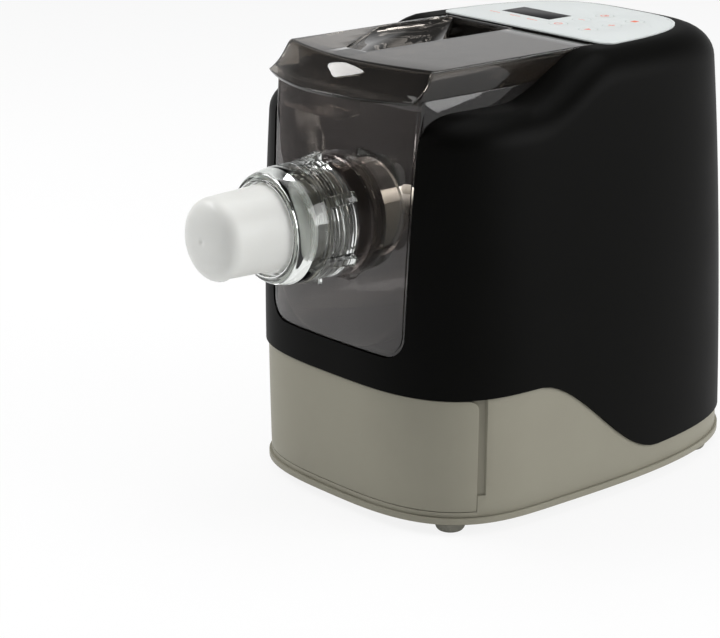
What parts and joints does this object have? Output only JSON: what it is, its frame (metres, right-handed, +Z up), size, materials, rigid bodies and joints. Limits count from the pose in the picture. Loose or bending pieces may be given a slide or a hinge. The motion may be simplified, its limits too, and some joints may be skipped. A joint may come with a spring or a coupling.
{
  "type": "electric pasta maker",
  "caption": "Table-top pasta maker: black domed body on a grey base with a drawer, smoked window and lid over a mixing bowl, clear screw collar and white shaping nozzle.",
  "frame": {"origin": "on the ground under the middle of the whole machine's bounding box", "axes": "+Z up, -Y the front with the nozzle, +X the machine's right as seen from the front"},
  "size_m": [0.2114, 0.3992, 0.2837],
  "materials": {
    "black_shell": "satin black moulded plastic",
    "warm_grey": "satin warm grey moulded plastic",
    "smoke_clear": "polished smoke-tinted clear plastic",
    "clear_plastic": "polished clear plastic",
    "milky_white": "satin milky white plastic",
    "dark_plastic": "dark grey moulded plastic",
    "dark_rubber": "soft dark rubber",
    "pale_panel": "pale satin overlay",
    "display_dark": "dark display window",
    "key_pad": "pale key pad",
    "white_nylon": "off-white nylon",
    "steel": "bright steel",
    "bronze": "sintered bronze",
    "zinc_sheet": "zinc-plated sheet steel",
    "board_green": "green circuit board"
  },
  "bodies": {
    "body": {"upper_housing": "black_shell", "base_housing": "warm_grey", "bottom_plate": "warm_grey", "drawer_bay": "warm_grey", "front_panel": "smoke_clear", "mixing_bowl": "smoke_clear", "pasta_die": "milky_white", "extrusion_barrel": "dark_plastic", "barrel_ring": "dark_plastic", "lid_switch": "dark_plastic", "cord_gland": "dark_plastic", "foot_front_left": "dark_rubber", "foot_front_right": "dark_rubber", "foot_rear_left": "dark_rubber", "foot_rear_right": "dark_rubber", "shaft_seal": "dark_rubber", "control_panel": "pale_panel", "display_window": "display_dark", "idler_pin": "steel", "motor_stator": "steel", "bottom_screw_1": "steel", "bottom_screw_2": "steel", "bottom_screw_3": "steel", "bottom_screw_4": "steel", "gearbox_screw_1": "steel", "gearbox_screw_2": "steel", "gearbox_screw_3": "steel", "gearbox_screw_4": "steel", "drive_bush_front": "bronze", "drive_bush_rear": "bronze", "motor_bush_front": "bronze", "motor_bush_rear": "bronze", "gearbox_plate": "zinc_sheet", "gearbox_cup": "zinc_sheet", "motor_front_bracket": "zinc_sheet", "motor_rear_bracket": "zinc_sheet", "motor_cradle": "zinc_sheet", "control_board": "board_green"},
    "drawer": {"drawer_front": "warm_grey", "drawer_tray": "warm_grey"},
    "lid": {"lid": "smoke_clear", "lid_drip_rail": "smoke_clear"},
    "collar": {"locking_collar": "clear_plastic"},
    "auger": {"mixing_screw": "white_nylon", "drive_shaft": "steel", "output_gear": "steel"},
    "idler": {"idler_gear": "white_nylon"},
    "motor": {"motor_rotor": "steel", "motor_pinion": "steel", "cooling_fan": "white_nylon"},
    "key_1_cap": {"key_1": "key_pad"},
    "key_2_cap": {"key_2": "key_pad"},
    "key_3_cap": {"key_3": "key_pad"},
    "key_4_cap": {"key_4": "key_pad"},
    "key_5_cap": {"key_5": "key_pad"},
    "key_6_cap": {"key_6": "key_pad"}
  },
  "joints": [
    {"name": "drawer_slide", "type": "slide", "parent": "body", "child": "drawer", "axis": [0, -1, 0], "range_m": [0, 0.1]},
    {"name": "lid_lift", "type": "slide", "parent": "body", "child": "lid", "axis": [0, 0, 1], "range_m": [0, 0.08]},
    {"name": "collar_turn", "type": "hinge", "parent": "body", "child": "collar", "pos_m": [0, -0.13, 0.18702], "axis": [0, -1, 0], "range_deg": [0, 360]},
    {"name": "auger_spin", "type": "hinge", "parent": "body", "child": "auger", "pos_m": [0, 0.04, 0.18702], "axis": [0, -1, 0], "continuous": true},
    {"name": "idler_spin", "type": "hinge", "parent": "body", "child": "idler", "pos_m": [0, 0.065, 0.15462], "axis": [0, -1, 0], "continuous": true},
    {"name": "motor_spin", "type": "hinge", "parent": "body", "child": "motor", "pos_m": [0, 0.1, 0.12222], "axis": [0, -1, 0], "continuous": true},
    {"name": "key_1_press", "type": "slide", "parent": "body", "child": "key_1_cap", "axis": [0, 0, -1], "range_m": [0, 0.0005], "stiffness_N_per_m": 400},
    {"name": "key_2_press", "type": "slide", "parent": "body", "child": "key_2_cap", "axis": [0, 0, -1], "range_m": [0, 0.0005], "stiffness_N_per_m": 400},
    {"name": "key_3_press", "type": "slide", "parent": "body", "child": "key_3_cap", "axis": [0, 0, -1], "range_m": [0, 0.0005], "stiffness_N_per_m": 400},
    {"name": "key_4_press", "type": "slide", "parent": "body", "child": "key_4_cap", "axis": [0, 0, -1], "range_m": [0, 0.0005], "stiffness_N_per_m": 400},
    {"name": "key_5_press", "type": "slide", "parent": "body", "child": "key_5_cap", "axis": [0, 0, -1], "range_m": [0, 0.0005], "stiffness_N_per_m": 400},
    {"name": "key_6_press", "type": "slide", "parent": "body", "child": "key_6_cap", "axis": [0, 0, -1], "range_m": [0, 0.0005], "stiffness_N_per_m": 400}
  ],
  "couplings": [
    {"joint": "idler_spin", "follows": "auger_spin", "ratio": -3.5},
    {"joint": "motor_spin", "follows": "auger_spin", "ratio": 12.25}
  ]
}
